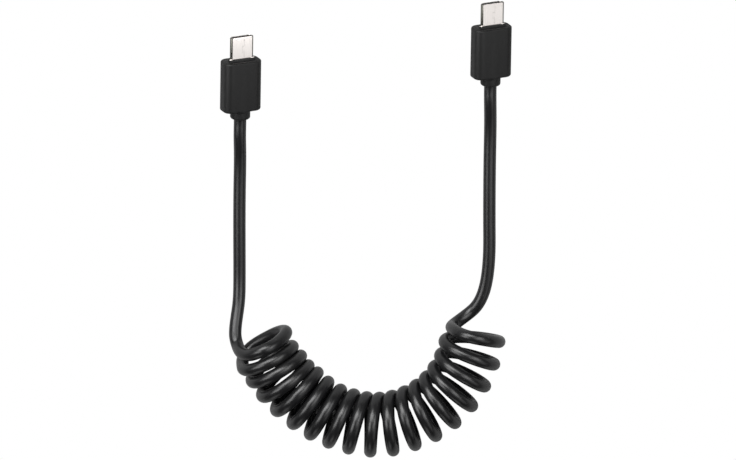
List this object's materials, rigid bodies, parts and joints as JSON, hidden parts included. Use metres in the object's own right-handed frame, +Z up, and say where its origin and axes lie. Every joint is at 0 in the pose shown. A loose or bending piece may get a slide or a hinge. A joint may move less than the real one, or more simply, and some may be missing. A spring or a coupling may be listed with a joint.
{
  "type": "coiled micro usb cable",
  "caption": "Curly black data and charging lead lying in a U, with straight ends and a small flat metal-tipped plug on each end.",
  "frame": {"origin": "bottom centre of the whole lead's box, on the floor it lies on", "axes": "+Z up; +Y along both straight ends, towards the plugs' mouths; +X from the first plug to the second"},
  "size_m": [0.0813, 0.1299, 0.0185],
  "materials": {
    "overmold": "fine matt moulded black",
    "jacket": "smooth satin black cable jacket",
    "shell": "bright plated steel",
    "tongue": "plain black",
    "contact": "thin gold plating"
  },
  "bodies": {
    "root": {"plug_a_overmold": "overmold", "plug_a_shell": "shell", "plug_a_tongue": "tongue", "plug_a_contact_1": "contact", "plug_a_contact_2": "contact", "plug_a_contact_3": "contact", "plug_a_contact_4": "contact", "plug_a_contact_5": "contact", "plug_b_overmold": "overmold", "plug_b_shell": "shell", "plug_b_tongue": "tongue", "plug_b_contact_1": "contact", "plug_b_contact_2": "contact", "plug_b_contact_3": "contact", "plug_b_contact_4": "contact", "plug_b_contact_5": "contact", "lead_a": "jacket", "coil": "jacket", "lead_b": "jacket"}
  },
  "joints": []
}
